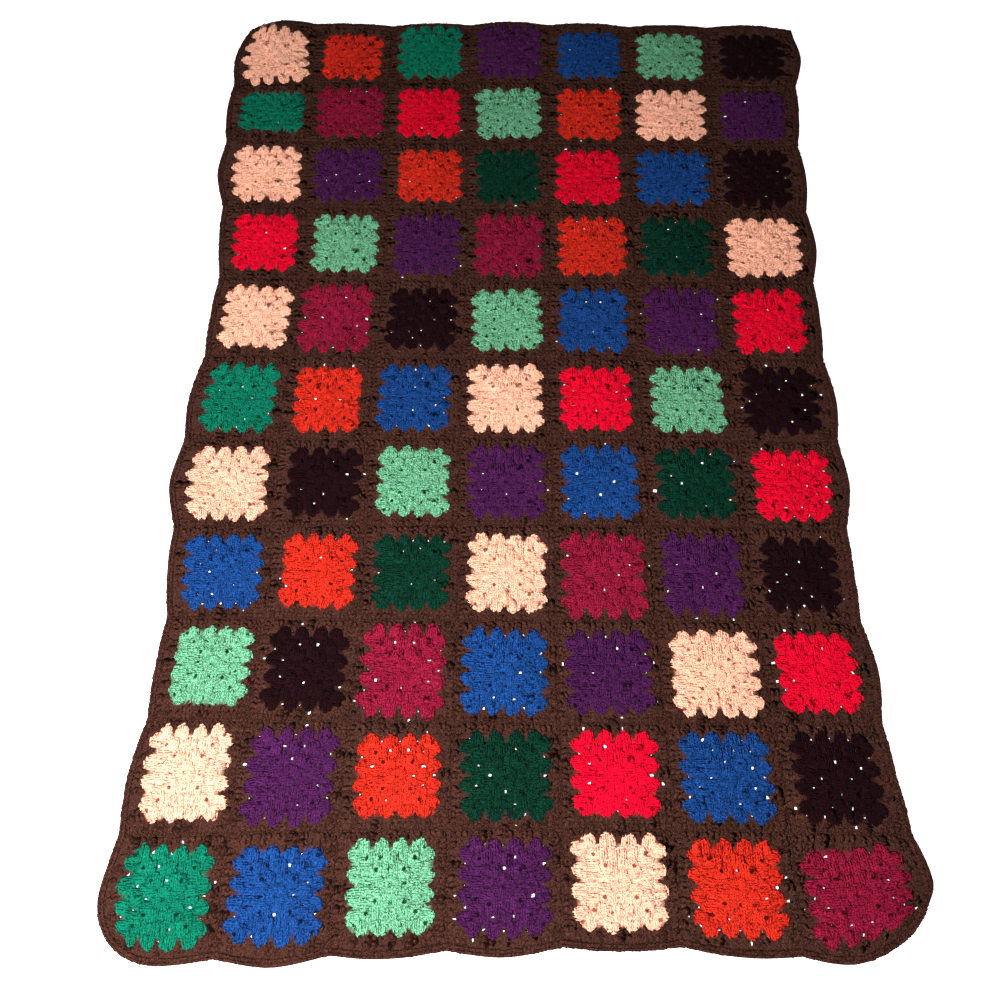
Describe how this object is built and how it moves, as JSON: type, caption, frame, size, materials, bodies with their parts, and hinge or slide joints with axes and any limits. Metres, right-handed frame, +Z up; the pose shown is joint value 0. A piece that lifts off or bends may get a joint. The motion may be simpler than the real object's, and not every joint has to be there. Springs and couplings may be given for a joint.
{
  "type": "granny square blanket",
  "caption": "Crocheted blanket of bright granny squares with dark brown borders, joined in rows and edged all round, lying flat.",
  "frame": {"origin": "middle of the blanket's outline, on the surface it lies on", "axes": "+Z up out of the cloth, +Y along the length towards the far end, +X across the width to the right"},
  "size_m": [1.1226, 1.6832, 0.012],
  "materials": {
    "square_yarns": "worsted acrylic yarn in ten colours, one to a square, matt with a soft fuzz; each colour has its own slot below for the visual model",
    "border_yarn": "dark brown worsted acrylic yarn, matt with a soft fuzz",
    "yarn_apricot": "pale apricot worsted acrylic yarn, matt with a soft fuzz",
    "yarn_rust": "rust orange worsted acrylic yarn, matt with a soft fuzz",
    "yarn_teal": "teal green worsted acrylic yarn, matt with a soft fuzz",
    "yarn_violet": "dark violet worsted acrylic yarn, matt with a soft fuzz",
    "yarn_blue": "royal blue worsted acrylic yarn, matt with a soft fuzz",
    "yarn_mint": "mint green worsted acrylic yarn, matt with a soft fuzz",
    "yarn_black": "aubergine black worsted acrylic yarn, matt with a soft fuzz",
    "yarn_claret": "claret worsted acrylic yarn, matt with a soft fuzz",
    "yarn_scarlet": "scarlet worsted acrylic yarn, matt with a soft fuzz",
    "yarn_green": "dark green worsted acrylic yarn, matt with a soft fuzz"
  },
  "bodies": {
    "root": {"squares_row_01": "square_yarns", "squares_row_02": "square_yarns", "squares_row_03": "square_yarns", "squares_row_04": "square_yarns", "squares_row_05": "square_yarns", "squares_row_06": "square_yarns", "squares_row_07": "square_yarns", "squares_row_08": "square_yarns", "squares_row_09": "square_yarns", "squares_row_10": "square_yarns", "squares_row_11": "square_yarns", "edging": "border_yarn"}
  },
  "joints": []
}
